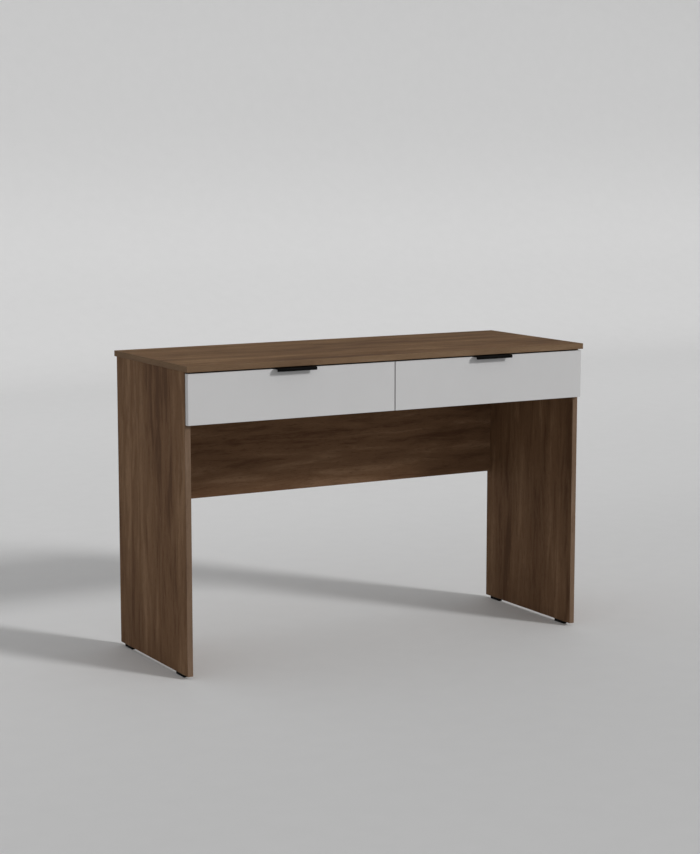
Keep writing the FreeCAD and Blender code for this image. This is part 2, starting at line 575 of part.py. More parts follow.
# ---- Drawers -------------------------------------------------------------------------------------------
class Drawer:
    """One drawer, closed."""

    def __init__(self, name):
        sign = DRAWERS[name]
        self.middle = sign * BAY_MIDDLE
        self.front_low, self.front_high = sorted((sign * FRONT_GAP / 2, sign * FACE_OUT))
        self.front_middle = (self.front_low + self.front_high) / 2
        self.slides = slides(name)
        reach = (BOX_WIDTH - BOX_BOARD) / 2
        self.side_middles = ((self.middle - reach, 1.0), (self.middle + reach, -1.0))
        self.cams = [[CamJoint(Vector(x, FACE_BACK, z), -Y, X * inward, BOX_CAM_BACKSET, BOX_CAM_DEPTH,
                               BOX_BOARD) for z in BOX_CAMS_Z] for x, inward in self.side_middles]

    def front(self):
        """The drawer front, with eased edges, drilled and grooved from behind."""
        board = block(self.front_low, self.front_high, FACE, FACE_BACK, FACE_BOTTOM, FACE_TOP)
        board = rounded(board, FRONT_EASE, lambda e: lies_at(e, "y", FACE))
        holes = [joint.hole_in_bolt_board() for joints in self.cams for joint in joints]
        deep = PULL_SCREW["length"] - PULL_SHEET
        holes += [pilot(Vector(p.x, FACE_BACK, p.z), -Y, deep, PULL_SCREW["shank"])
                  for p in self.pull_screw_points()]
        return drilled(board, holes + [self.base_slot(FACE_BACK - GROOVE_DEPTH, FACE_BACK + PAST)])

    def pull_screw_points(self):
        """The middles of the undersides of the pull's screw heads."""
        return [Vector(self.front_middle + side * PULL_SCREW_SPACING / 2, FACE_BACK + PULL_SHEET,
                       FACE_TOP - PULL_SCREW_DROP) for side in (-1, 1)]

    def pull(self):
        """The edge pull: a flange behind the front, a plate over its top edge, and a lip before it."""
        x0, x1 = self.front_middle - PULL_WIDTH / 2, self.front_middle + PULL_WIDTH / 2
        lip_face, plate_top = FACE - PULL_REACH, FACE_TOP + PULL_SHEET
        lip_back, lip_end = lip_face + PULL_SHEET, plate_top - PULL_LIP
        flange_back, flange_end = FACE_BACK + PULL_SHEET, FACE_TOP - PULL_FLANGE
        outline = [(flange_back, flange_end), (flange_back, plate_top), (lip_face, plate_top),
                   (lip_face, lip_end), (lip_back, lip_end), (lip_back, FACE_TOP), (FACE_BACK, FACE_TOP),
                   (FACE_BACK, flange_end), (flange_back, flange_end)]
        profile = Part.makePolygon([Vector(x0, y, z) for y, z in outline])
        bar = Part.Face(profile).extrude(X * (x1 - x0))
        bar = rounded(bar, PULL_BEND, lambda e: lies_at(e, "z", plate_top) and e.Length > PULL_WIDTH - NEAR)
        return drilled(bar, [rod(PULL_SCREW["shank"] + PULL_HOLE_PLAY, p - Y * (PULL_SHEET + PAST),
                                 p + Y * PAST) for p in self.pull_screw_points()])

    def pull_screws(self):
        """The two screws of the pull."""
        return [pan_screw(p, -Y, **PULL_SCREW) for p in self.pull_screw_points()]

    def base_slot(self, y0, y1):
        """The groove for the base, cut across the box between two Y values."""
        reach = BOX_WIDTH / 2 - BOX_BOARD + GROOVE_DEPTH
        return block(self.middle - reach, self.middle + reach, y0, y1, BASE_Z, BASE_Z + GROOVE)

    def side(self, index):
        """One side of the box: 0 the left, 1 the right."""
        x, half = self.side_middles[index][0], BOX_BOARD / 2
        board = block(x - half, x + half, FACE_BACK, BOX_BACK, BOX_BOTTOM_Z, BOX_TOP)
        board = rounded(board, BOX_EASE, lambda e: lies_at(e, "z", BOX_TOP) and e.Length > BOX_DEPTH - NEAR)
        holes = [hole for joint in self.cams[index] for hole in joint.holes_in_cam_board()]
        holes += self.slides[index].box_holes()
        holes += [sunk_hole(*place, **BOX_SCREW) for place in self.box_screw_places(index)]
        return drilled(board, holes + [self.base_slot(FACE_BACK - PAST, BOX_BACK + PAST)])

    def box_screw_places(self, index):
        """The heads and directions of the screws through one side into the back."""
        x, inward = self.side_middles[index]
        return [(Vector(x - inward * BOX_BOARD / 2, BOX_BACK - BOX_BOARD / 2, z), X * inward)
                for z in BOX_SCREWS_Z]

    def all_box_screw_places(self):
        """The heads and directions of all four screws of the box."""
        return self.box_screw_places(0) + self.box_screw_places(1)

    def back(self):
        """The back of the box, standing on the base."""
        half = BOX_WIDTH / 2 - BOX_BOARD
        board = block(self.middle - half, self.middle + half, BOX_BACK - BOX_BOARD, BOX_BACK,
                      BASE_Z + GROOVE, BOX_TOP)
        board = rounded(board, BOX_EASE, lambda e: lies_at(e, "z", BOX_TOP) and e.Length > half)
        return drilled(board, [sunk_hole(*place, **BOX_SCREW) for place in self.all_box_screw_places()])

    def base(self):
        """The hardboard base, held in the grooves and passing under the back."""
        reach = BOX_WIDTH / 2 - BOX_BOARD + BASE_BITE
        low = BASE_Z + (GROOVE - BASE_SHEET) / 2
        return block(self.middle - reach, self.middle + reach, FACE_BACK - BASE_BITE, BOX_BACK, low,
                     low + BASE_SHEET)

    def box_screws(self):
        """The four screws that hold the back between the sides."""
        return [sunk_screw(*place, **BOX_SCREW) for place in self.all_box_screw_places()]


# ---- Writing the nodes ---------------------------------------------------------------------------------
def save(name, shape):
    """Writes one node; a list is written as separate solids."""
    if isinstance(shape, list):
        shape = Part.makeCompound(shape)
    if not shape.Solids or not all(solid.isValid() for solid in shape.Solids):
        raise ValueError(f"{name} has a bad solid")
    shape.exportStep(f"parts/{name}.step")


def save_carcass():
    """Writes the nodes of the carcass."""
    joints = [joint for board in CAMS.values() for joint in board]
    save("top_panel", top_panel())
    save("top_panel_edge_bands", top_panel_edge_bands())
    save("back_panel", back_panel())
    save("back_panel_edge_band", back_panel_edge_band())
    save("centre_divider", centre_divider())
    save("centre_divider_edge_bands", centre_divider_edge_bands())
    save("cams", [joint.cam() for joint in joints])
    save("cam_bolts", [joint.bolt() for joint in joints])
    save("cam_cover_caps", [joint.cap() for joint in joints])
    save("dowels", [dowel.peg() for pegs in DOWELS.values() for dowel in pegs])
    save("foot_nails", foot_nails())
    save("outer_rail_screws",
         [screw for name in DRAWERS for slide in slides(name) for screw in slide.carcass_screws()])
    for name, sign in DRAWERS.items():
        save(f"{name}_side_panel", side_panel(name))
        save(f"{name}_side_panel_edge_bands", side_panel_edge_bands(name))
        for place, y in zip(("front", "back"), foot_places()):
            save(f"{place}_{name}_foot", foot(sign, y))


def save_drawer(name):
    """Writes the nodes of one drawer and of its two slides."""
    drawer = Drawer(name)
    joints = [joint for side in drawer.cams for joint in side]
    prefix = f"{name}_drawer"
    save(f"{prefix}_front", drawer.front())
    save(f"{prefix}_pull", drawer.pull())
    save(f"{prefix}_pull_screws", drawer.pull_screws())
    save(f"{prefix}_back", drawer.back())
    save(f"{prefix}_base", drawer.base())
    save(f"{prefix}_cams", [joint.cam() for joint in joints])
    save(f"{prefix}_cam_bolts", [joint.bolt() for joint in joints])
    save(f"{prefix}_box_screws", drawer.box_screws())
    save(f"{prefix}_rail_screws", [screw for slide in drawer.slides for screw in slide.box_screws()])
    for index, place in enumerate(("left", "right")):
        slide = drawer.slides[index]
        save(f"{prefix}_{place}_side", drawer.side(index))
        save(f"{prefix}_{place}_outer_rail", slide.outer_rail())
        save(f"{prefix}_{place}_middle_rail", slide.middle_rail())
        save(f"{prefix}_{place}_inner_rail", slide.inner_rail())
    for stage in ("outer", "inner"):
        save(f"{prefix}_{stage}_ball_strips",
             [solid for slide in drawer.slides for solid in slide.ball_strips(stage)])


def main():
    """Builds every node."""
    os.makedirs("parts", exist_ok=True)
    save_carcass()
    for name in DRAWERS:
        save_drawer(name)


main()
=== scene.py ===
import logging
import math
from dataclasses import dataclass, field
from enum import Enum

import bmesh
import bpy
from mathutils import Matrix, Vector


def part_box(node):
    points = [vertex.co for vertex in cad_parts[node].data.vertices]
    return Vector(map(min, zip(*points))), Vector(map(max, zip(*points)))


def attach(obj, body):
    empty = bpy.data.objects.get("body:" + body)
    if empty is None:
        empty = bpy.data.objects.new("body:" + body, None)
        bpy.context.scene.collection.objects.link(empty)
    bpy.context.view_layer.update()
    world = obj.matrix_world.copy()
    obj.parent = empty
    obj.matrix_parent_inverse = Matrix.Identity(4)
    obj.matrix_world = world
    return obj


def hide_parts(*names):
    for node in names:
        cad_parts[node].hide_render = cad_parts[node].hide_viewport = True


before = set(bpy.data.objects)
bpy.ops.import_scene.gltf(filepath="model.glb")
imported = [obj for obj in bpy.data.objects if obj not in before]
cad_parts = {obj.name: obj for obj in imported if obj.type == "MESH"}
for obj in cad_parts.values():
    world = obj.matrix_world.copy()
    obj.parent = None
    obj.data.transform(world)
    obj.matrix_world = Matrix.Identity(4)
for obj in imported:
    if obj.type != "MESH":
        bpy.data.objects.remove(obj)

LOG = logging.getLogger("console_table")
MM = 0.001
CLOSE = 1e-6              # points that are nearer than this, in metres, are one
Colour = tuple[float, float, float]
Place = tuple[float, float, float]
Socket = bpy.types.NodeSocket
Feed = Socket | float | bool | str | tuple[float, ...]     # what an input takes: a link or a value


class Grain(Enum):
    """The way that the grain of a board runs, with the turn that brings it onto the pattern's own X axis."""

    ALONG_WIDTH = (0.0, 0.0, 0.0)
    ALONG_DEPTH = (0.0, 0.0, -math.pi / 2)
    UPRIGHT = (0.0, math.pi / 2, 0.0)


class Curve(Enum):
    """How a value is bent on its way through a ramp."""

    LINEAR = "LINEAR"
    EASE = "EASE"


# ---- Node trees ----------------------------------------------------------------------------------------
class Sheet:
    """Writes one node tree, node by node."""

    def __init__(self, tree: bpy.types.NodeTree) -> None:
        """Starts from an empty tree.

        Args:
            tree: the tree to fill.
        """
        self.tree = tree
        tree.nodes.clear()

    def feed(self, node: bpy.types.Node, key: str | int, value: Feed) -> None:
        """Links a socket to an input, or gives the input a value.

        Args:
            node: the node that has the input.
            key: the input's name or index.
            value: the socket to link from, or the value to hold.
        """
        if isinstance(value, Socket):
            self.tree.links.new(value, node.inputs[key])
        else:
            node.inputs[key].default_value = value

    def node(self, kind: str, inputs: dict[str | int, Feed] | None = None,
             **settings: object) -> bpy.types.Node:
        """Adds a node.

        Args:
            kind: the node's type name.
            inputs: for each input, by name or index, a socket to link from or a value to hold.
            settings: the node's own properties.

        Returns:
            The new node.
        """
        made = self.tree.nodes.new(kind)
        for name, value in settings.items():
            setattr(made, name, value)
        for key, value in (inputs or {}).items():
            self.feed(made, key, value)
        return made

    def maths(self, operation: str, first: Feed, second: Feed = 0.0, clamp: bool = False) -> Socket:
        """Adds a Math node.

        Args:
            operation: what it works out.
            first: its first socket or value.
            second: its second socket or value.
            clamp: whether the result is kept between 0 and 1.

        Returns:
            Its output socket.
        """
        made = self.node("ShaderNodeMath", {0: first, 1: second}, operation=operation, use_clamp=clamp)
        return made.outputs[0]

    def times(self, first: Feed, second: Feed) -> Socket:
        """The socket of one value times another."""
        return self.maths("MULTIPLY", first, second)

    def total(self, *values: Feed) -> Socket:
        """Adds values up.

        Args:
            values: two or more sockets or values.

        Returns:
            The socket of their sum.
        """
        summed = values[0]
        for value in values[1:]:
            summed = self.maths("ADD", summed, value)
        return summed

    def axes(self, vector: Socket) -> bpy.types.bpy_prop_collection:
        """The sockets X, Y and Z of a vector."""
        return self.node("ShaderNodeSeparateXYZ", {0: vector}).outputs

    def vector(self, x: Feed = 0.0, y: Feed = 0.0, z: Feed = 0.0) -> Socket:
        """The socket of a vector made of three values."""
        return self.node("ShaderNodeCombineXYZ", {0: x, 1: y, 2: z}).outputs[0]

    def ranged(self, value: Socket, low: float = 0.0, high: float = 1.0, start: float = 0.0,
               end: float = 1.0) -> Socket:
        """Adds a Map Range node.

        Args:
            value: the socket to map.
            low: what start becomes.
            high: what end becomes.
            start: the value that becomes low.
            end: the value that becomes high.

        Returns:
            The socket of the mapped value, which never passes low or high.
        """
        made = self.node("ShaderNodeMapRange", {"Value": value, "From Min": start, "From Max": end,
                                                "To Min": low, "To Max": high})
        return made.outputs[0]

    def noise(self, place: Socket, scale: float, detail: float = 2.0, roughness: float = 0.5,
              distortion: float = 0.0) -> Socket:
        """Adds a Noise Texture.

        Args:
            place: the socket that holds its coordinates.
            scale: its scale.
            detail: its octaves.
            roughness: how strong the finer octaves are.
            distortion: how much it is warped.

        Returns:
            The socket of its value, from 0 to 1.
        """
        made = self.node("ShaderNodeTexNoise", {"Vector": place, "Scale": scale, "Detail": detail,
                                                "Roughness": roughness, "Distortion": distortion})
        return made.outputs[0]

    def placed(self, place: Socket, scale: Place = (1.0, 1.0, 1.0), turn: Place = (0.0, 0.0, 0.0),
               shift: Place = (0.0, 0.0, 0.0)) -> Socket:
        """Adds a Mapping node.

        Args:
            place: the socket that holds the coordinates.
            scale: the stretch along each axis.
            turn: the rotation, in radians.
            shift: what is added after that.

        Returns:
            The socket of the new coordinates.
        """
        made = self.node("ShaderNodeMapping", {"Vector": place, "Location": shift, "Rotation": turn,
                                               "Scale": scale})
        return made.outputs[0]

    def ramp(self, value: Socket, stops: list[tuple[float, Colour | float]],
             curve: Curve = Curve.LINEAR) -> Socket:
        """Adds a colour ramp.

        Args:
            value: the socket that drives it.
            stops: places from 0 to 1, each with a colour or a grey.
            curve: how it runs between them.

        Returns:
            The socket of its colour.
        """
        made = self.node("ShaderNodeValToRGB", {0: value})
        band = made.color_ramp
        band.interpolation = curve.value
        while len(band.elements) < len(stops):
            band.elements.new(1.0)
        for element, (place, colour) in zip(band.elements, stops):
            element.position = place
            rgb = colour if isinstance(colour, tuple) else (colour,) * 3
            element.color = (*rgb, 1.0)
        return made.outputs[0]

    def mixed(self, factor: Feed, first: Feed, second: Feed, blend: str = "MIX") -> Socket:
        """Adds a colour Mix node.

        Args:
            factor: how much of the second, a socket or a number.
            first: a colour socket or a colour.
            second: a colour socket or a colour.
            blend: the way that they are blended.

        Returns:
            The socket of its colour.
        """
        pair = [(*c, 1.0) if isinstance(c, tuple) else c for c in (first, second)]
        made = self.node("ShaderNodeMix", {0: factor, 6: pair[0], 7: pair[1]}, data_type="RGBA",
                         blend_type=blend)
        return made.outputs[2]


# ---- Finishes ------------------------------------------------------------------------------------------
EDGE_REACH = 1.2 * MM                  # how far from an edge its wear and painted sheen reach
EDGE_SAMPLES = 3
EDGE_STARTS, EDGE_FULL = 0.995, 0.80   # how well rounded and true normals agree where the edge mark starts and is full
EDGE_PATCHES = 90.0                    # patches along the edges, in a metre


class Skin:
    """A material under way: its sheet, its shader and the Object coordinates that its patterns read."""

    def __init__(self, name: str) -> None:
        """Starts the material with its shader.

        Args:
            name: the material's name.
        """
        self.material = bpy.data.materials.new(name)
        self.material.use_nodes = True
        self.sheet = Sheet(self.material.node_tree)
        self.shader = self.sheet.node("ShaderNodeBsdfPrincipled")
        self.sheet.node("ShaderNodeOutputMaterial", {"Surface": self.shader.outputs[0]})
        self.place = self.sheet.node("ShaderNodeTexCoord").outputs["Object"]

    def paint(self, **inputs: Feed) -> None:
        """Feeds the shader.

        Args:
            inputs: sockets or values for its inputs, with _ for each space in a name.
        """
        for name, value in inputs.items():
            self.sheet.feed(self.shader, name.replace("_", " "), value)

    def edge_wear_and_sheen(self) -> Socket:
        """Finds the edges, patchily: they are worn, and on the pull's powder they carry a painted highlight.

        Returns:
            A socket that is near 1 on an edge and 0 elsewhere.
        """
        sheet = self.sheet
        soft = sheet.node("ShaderNodeBevel", {"Radius": EDGE_REACH}, samples=EDGE_SAMPLES).outputs[0]
        true = sheet.node("ShaderNodeNewGeometry").outputs["Normal"]
        agree = sheet.node("ShaderNodeVectorMath", {0: soft, 1: true}, operation="DOT_PRODUCT")
        edge = sheet.ranged(agree.outputs["Value"], start=EDGE_STARTS, end=EDGE_FULL)
        return sheet.maths("MULTIPLY", edge, sheet.noise(self.place, EDGE_PATCHES, 3.0), clamp=True)

    def bump(self, height: Socket, depth: float, strength: float = 1.0) -> None:
        """Puts a relief on the shader.

        Args:
            height: the socket of the relief, from 0 to 1.
            depth: its depth in metres.
            strength: how strong it is.
        """
        made = self.sheet.node("ShaderNodeBump", {"Height": height, "Distance": depth, "Strength": strength})
        self.paint(Normal=made.outputs[0])


@dataclass(frozen=True)
class Layer:
    """One layer of noise in a finish."""

    cells: Place              # cells in a metre along each axis
    detail: float = 2.0
    roughness: float = 0.5
    distortion: float = 0.0
    weight: float = 1.0       # its share of the tone
    start: float = 0.0        # the value where its marks start
    full: float = 1.0         # the value where they are full

    def drawn(self, sheet: Sheet, place: Socket) -> Socket:
        """Draws the layer.

        Args:
            sheet: the material's sheet.
            place: the socket of the coordinates.

        Returns:
            The socket of its value, from 0 to 1.
        """
        return sheet.noise(sheet.placed(place, self.cells), 1.0, self.detail, self.roughness, self.distortion)

    def marks(self, sheet: Sheet, place: Socket) -> Socket:
        """Draws the layer as separate marks.

        Args:
            sheet: the material's sheet.
            place: the socket of the coordinates.

        Returns:
            A socket that is 1 in the middle of a mark and 0 between marks.
        """
        return sheet.ramp(self.drawn(sheet, place), [(0.0, 0.0), (self.start, 0.0), (self.full, 1.0)])


@dataclass(frozen=True)
class Finish:
    """What every finish has: the name of its material."""

    name: str

    def material(self) -> bpy.types.Material:
        """The finished material."""
        raise NotImplementedError(self.name)


@dataclass(frozen=True)
class WalnutFoil(Finish):
    """Printed walnut foil: soft wandering streaks, growth lines, flecks, fine pores and a few small knots."""

    grain: Grain = Grain.ALONG_WIDTH
    shift: Place = (0.0, 0.0, 0.0)
    dark: Colour = (0.108, 0.055, 0.028)
    brown: Colour = (0.178, 0.098, 0.051)
    light: Colour = (0.250, 0.149, 0.083)
    mark: Colour = (0.060, 0.028, 0.013)
    # a colour that multiplies the wood: its own tone, and on the right panel painted shade
    tint_and_shade: Colour = (1.0, 1.0, 1.0)
    tones: Place = (0.36, 0.48, 0.60)                  # where the pattern is dark, brown and light
    knots: float = 0.60                                # strengths, from 0 to 1
    flecks: float = 0.34
    pores: float = 0.42
    worn: float = 0.30
    warp: Layer = Layer((2.4, 9.0, 9.0))
    drift: Place = (0.0, 0.030, 0.030)                 # how far the warp moves the pattern, in metres
    broad: Layer = Layer((1.5, 13.0, 13.0), weight=0.40)
    streak: Layer = Layer((5.0, 42.0, 42.0), 4.0, 0.62, 0.5, weight=0.44)
    growth: Layer = Layer((0.9, 8.0, 8.0), 1.0, 0.4, weight=0.010)
    growth_lines: float = 110.0                        # radians of line over the growth layer's range
    fibre: Layer = Layer((30.0, 900.0, 900.0), 3.0, 0.6, weight=0.12)
    fleck: Layer = Layer((20.0, 150.0, 150.0), 3.0, 0.55, 0.4, start=0.57, full=0.72)
    pore: Layer = Layer((75.0, 1100.0, 1100.0), 1.0, start=0.61, full=0.69)
    knot_cells: Place = (4.2, 11.0, 11.0)
    knot_above: float = 0.62                           # the share of the cells that have no knot
    knot_reach: tuple[float, float] = (0.16, 0.01)     # where a knot starts and is full, in cells
    smooth: float = 0.60                               # roughness, at its least and its most
    rough: float = 0.76
    worn_rough: float = 0.10
    fleck_depth: float = 0.5                           # as a share of the relief
    relief: float = 0.10 * MM
    relief_strength: float = 0.6
    gloss: float = 0.05
    end_facing: float = 0.7                            # the share of a strip's normal that makes it an end
    is_band: bool = False

    def material(self) -> bpy.types.Material:
        """Makes the material.

        Returns:
            The finished material.
        """
        skin = Skin(self.name)
        sheet = skin.sheet
        place = self.wandering(sheet, self.grain_place(sheet, skin.place))
        fibre = self.fibre.drawn(sheet, place)
        fleck, pore = self.fleck.marks(sheet, place), self.pore.marks(sheet, place)
        wood = self.streaks(sheet, place, fibre)
        for marks, strength in ((fleck, self.flecks), (pore, self.pores),
                                (self.knot_mask(sheet, place), self.knots)):
            wood = sheet.mixed(sheet.times(marks, strength), wood, self.mark)
        # the multiplied tint: the wood's own tone, and on the right panel painted shade
        wood = sheet.mixed(1.0, wood, self.tint_and_shade, "MULTIPLY")
        edge_wear_and_sheen = skin.edge_wear_and_sheen()
        rough = sheet.ranged(fibre, self.smooth, self.rough)
        skin.paint(Base_Color=sheet.mixed(sheet.times(edge_wear_and_sheen, self.worn), wood, self.light),
                   Roughness=sheet.total(rough, sheet.times(edge_wear_and_sheen, self.worn_rough)),
                   Specular_IOR_Level=self.gloss)
        relief = sheet.maths("SUBTRACT", fibre, sheet.times(fleck, self.fleck_depth))
        skin.bump(sheet.maths("SUBTRACT", relief, pore), self.relief, self.relief_strength)
        return skin.material

    def wandering(self, sheet: Sheet, place: Socket) -> Socket:
        """Makes the grain wander.

        Args:
            sheet: the material's sheet.
            place: the socket of the coordinates, with the grain along X.

        Returns:
            The socket of the moved coordinates.
        """
        warp = self.warp.drawn(sheet, place)
        drift = sheet.node("ShaderNodeVectorMath", {0: self.drift, "Scale": warp}, operation="SCALE")
        return sheet.node("ShaderNodeVectorMath", {0: place, 1: drift.outputs[0]}, operation="ADD").outputs[0]

    def streaks(self, sheet: Sheet, place: Socket, fibre: Socket) -> Socket:
        """Paints the broad tones, the streaks, the growth lines and the fibres.

        Args:
            sheet: the material's sheet.
            place: the socket of the coordinates, with the grain along X.
            fibre: the socket of the fibre layer.

        Returns:
            The socket of the colour.
        """
        lines = sheet.maths("SINE", sheet.times(self.growth.drawn(sheet, place), self.growth_lines))
        tone = sheet.total(sheet.times(self.broad.drawn(sheet, place), self.broad.weight),
                           sheet.times(self.streak.drawn(sheet, place), self.streak.weight),
                           sheet.times(lines, self.growth.weight), sheet.times(fibre, self.fibre.weight))
        return sheet.ramp(tone, list(zip(self.tones, (self.dark, self.brown, self.light))), Curve.EASE)

    def grain_place(self, sheet: Sheet, place: Socket) -> Socket:
        """Turns the coordinates so that the grain runs along X, and on banding along each strip.

        Args:
            sheet: the material's sheet.
            place: the socket of the Object coordinates.

        Returns:
            The socket of the turned coordinates.
        """
        along = sheet.placed(place, turn=self.grain.value, shift=self.shift)
        if not self.is_band:
            return along
        end = sheet.placed(place, turn=Grain.ALONG_DEPTH.value, shift=self.shift)
        normal = sheet.axes(sheet.node("ShaderNodeNewGeometry").outputs["Normal"])
        across = sheet.maths("ABSOLUTE", normal["Z" if self.grain is Grain.UPRIGHT else "X"])
        is_end = sheet.maths("GREATER_THAN", across, self.end_facing)
        made = sheet.node("ShaderNodeMix", {0: is_end, 4: along, 5: end}, data_type="VECTOR")
        return made.outputs[1]

    def knot_mask(self, sheet: Sheet, place: Socket) -> Socket:
        """Finds the small dark knots, long along the grain.

        Args:
            sheet: the material's sheet.
            place: the socket of the coordinates, with the grain along X.

        Returns:
            A socket that is 1 in the middle of a knot.
        """
        cells = sheet.node("ShaderNodeTexVoronoi", {"Vector": sheet.placed(place, self.knot_cells),
                                                    "Scale": 1.0}).outputs
        chance = sheet.node("ShaderNodeSeparateColor", {0: cells["Color"]}).outputs[0]
        chosen = sheet.maths("GREATER_THAN", chance, self.knot_above)
        start, full = self.knot_reach
        spot = sheet.ranged(cells["Distance"], start=start, end=full)
        return sheet.maths("MULTIPLY", spot, chosen, clamp=True)


@dataclass(frozen=True)
class WalnutBand(WalnutFoil):
    """Walnut edge banding: calmer than the boards, its grain along each strip."""

    dark: Colour = (0.155, 0.088, 0.048)
    brown: Colour = (0.182, 0.105, 0.057)
    light: Colour = (0.220, 0.133, 0.076)
    knots: float = 0.25
    flecks: float = 0.16
    pores: float = 0.30
    is_band: bool = True


@dataclass(frozen=True)
class Coat(Finish):
    """An even coat: lacquer, foil, plastic or powder, with faint mottling and a fine relief."""

    colour: Colour = (0.5, 0.5, 0.5)
    spread: float = 0.04               # how far the mottling strays from the colour
    roughness: float = 0.45
    relief: float = 0.04 * MM
    relief_scale: float = 900.0
    edge: Colour = (0.6, 0.6, 0.6)
    edge_amount: float = 0.25
    gloss: float = 0.5
    metal: float = 0.0
    mottle_scale: float = 9.0
    mottle: tuple[float, float] = (0.32, 0.68)
    smoother: float = 0.06             # how far the roughness strays
    rougher: float = 0.08

    def material(self) -> bpy.types.Material:
        """Makes the material.

        Returns:
            The finished material.
        """
        skin = Skin(self.name)
        sheet = skin.sheet
        low = tuple(c * (1.0 - self.spread) for c in self.colour)
        high = tuple(min(1.0, c * (1.0 + self.spread)) for c in self.colour)
        mottle = sheet.noise(skin.place, self.mottle_scale, 4.0, 0.55)
        coat = sheet.ramp(mottle, list(zip(self.mottle, (low, high))))
        grain = sheet.noise(skin.place, self.relief_scale, 3.0, 0.6)
        # the edge colour: wear on most coats, and a painted highlight on the pull's black powder
        skin.paint(Base_Color=sheet.mixed(sheet.times(skin.edge_wear_and_sheen(), self.edge_amount), coat, self.edge),
                   Roughness=sheet.ranged(grain, self.roughness - self.smoother,
                                          self.roughness + self.rougher),
                   Specular_IOR_Level=self.gloss, Metallic=self.metal)
        skin.bump(grain, self.relief)
        return skin.material


@dataclass(frozen=True)
class RolledSteel(Finish):
    """Zinc-plated steel with draw lines along its length."""

    colour: Colour = (0.62, 0.63, 0.65)
    roughness: float = 0.30
    dull: float = 0.72                                 # the dull patches, as a share of the colour
    patches: float = 60.0
    patch_tones: tuple[float, float] = (0.3, 0.65)
    bright_edge: Colour = (0.85, 0.85, 0.86)
    edge_amount: float = 0.5
    lines: Layer = Layer((2500.0, 12.0, 2500.0), 3.0, 0.6)
    smoother: float = 0.08
    rougher: float = 0.14
    relief: float = 0.03 * MM
    relief_strength: float = 0.5

    def material(self) -> bpy.types.Material:
        """Makes the material.

        Returns:
            The finished material.
        """
        skin = Skin(self.name)
        sheet = skin.sheet
        lines = self.lines.drawn(sheet, skin.place)
        dull = tuple(c * self.dull for c in self.colour)
        cloud = sheet.noise(skin.place, self.patches, 4.0, 0.6)
        tone = sheet.ramp(cloud, list(zip(self.patch_tones, (dull, self.colour))))
        edge = sheet.times(skin.edge_wear_and_sheen(), self.edge_amount)
        skin.paint(Base_Color=sheet.mixed(edge, tone, self.bright_edge), Metallic=1.0,
                   Roughness=sheet.ranged(lines, self.roughness - self.smoother,
                                          self.roughness + self.rougher))
        skin.bump(lines, self.relief, self.relief_strength)
        return skin.material


@dataclass(frozen=True)
class PlainWood(Finish):
    """Bare pale wood or fibreboard."""

    dark: Colour = (0.45, 0.30, 0.17)
    light: Colour = (0.66, 0.48, 0.30)
    fibre: Layer = Layer((40.0, 40.0, 40.0), 5.0, 0.65, start=0.30, full=0.70)
    worn: float = 0.3
    smooth: float = 0.60
    rough: float = 0.82
    relief: float = 0.10 * MM
    relief_strength: float = 0.6

    def material(self) -> bpy.types.Material:
        """Makes the material.

        Returns:
            The finished material.
        """
        skin = Skin(self.name)
        sheet = skin.sheet
        fibre = self.fibre.drawn(sheet, skin.place)
        tone = sheet.ramp(fibre, [(self.fibre.start, self.dark), (self.fibre.full, self.light)])
        skin.paint(Base_Color=sheet.mixed(sheet.times(skin.edge_wear_and_sheen(), self.worn), tone, self.light),
                   Roughness=sheet.ranged(fibre, self.smooth, self.rough))
        skin.bump(fibre, self.relief, self.relief_strength)
        return skin.material


@dataclass(frozen=True)
class Paper(Finish):
    """The backdrop's pale grey paper, with painted light: darker at the front and up the wall, lightest about
    four metres back.
    """

    # painted light: the paper's grey at each sum of the way back and the way up, in metres
    tones: tuple[tuple[float, float], ...] = ((-1.5, 0.78), (0.5, 0.84), (2.0, 0.90), (4.0, 0.915),
                                              (6.0, 0.875), (7.5, 0.81), (9.5, 0.70))
    fleck_scale: float = 14.0
    flecks: tuple[tuple[float, float], ...] = ((0.3, 0.985), (0.7, 1.0))
    roughness: float = 0.7
    gloss: float = 0.1

    def material(self) -> bpy.types.Material:
        """Makes the material, whose tones each stand at a sum of the way back and the way up, in metres, and
        paint light and shade over the floor and wall.

        Returns:
            The finished material.
        """
        skin = Skin(self.name)
        sheet = skin.sheet
        axes = sheet.axes(skin.place)
        first, last = self.tones[0][0], self.tones[-1][0]
        way = sheet.ranged(sheet.total(axes["Y"], axes["Z"]), start=first, end=last)
        tone = sheet.ramp(way, [((at - first) / (last - first), tone) for at, tone in self.tones], Curve.EASE)
        fleck = sheet.ramp(sheet.noise(skin.place, self.fleck_scale, 3.0), list(self.flecks))
        skin.paint(Base_Color=sheet.mixed(1.0, tone, fleck, "MULTIPLY"), Roughness=self.roughness,
                   Specular_IOR_Level=self.gloss)
        return skin.material


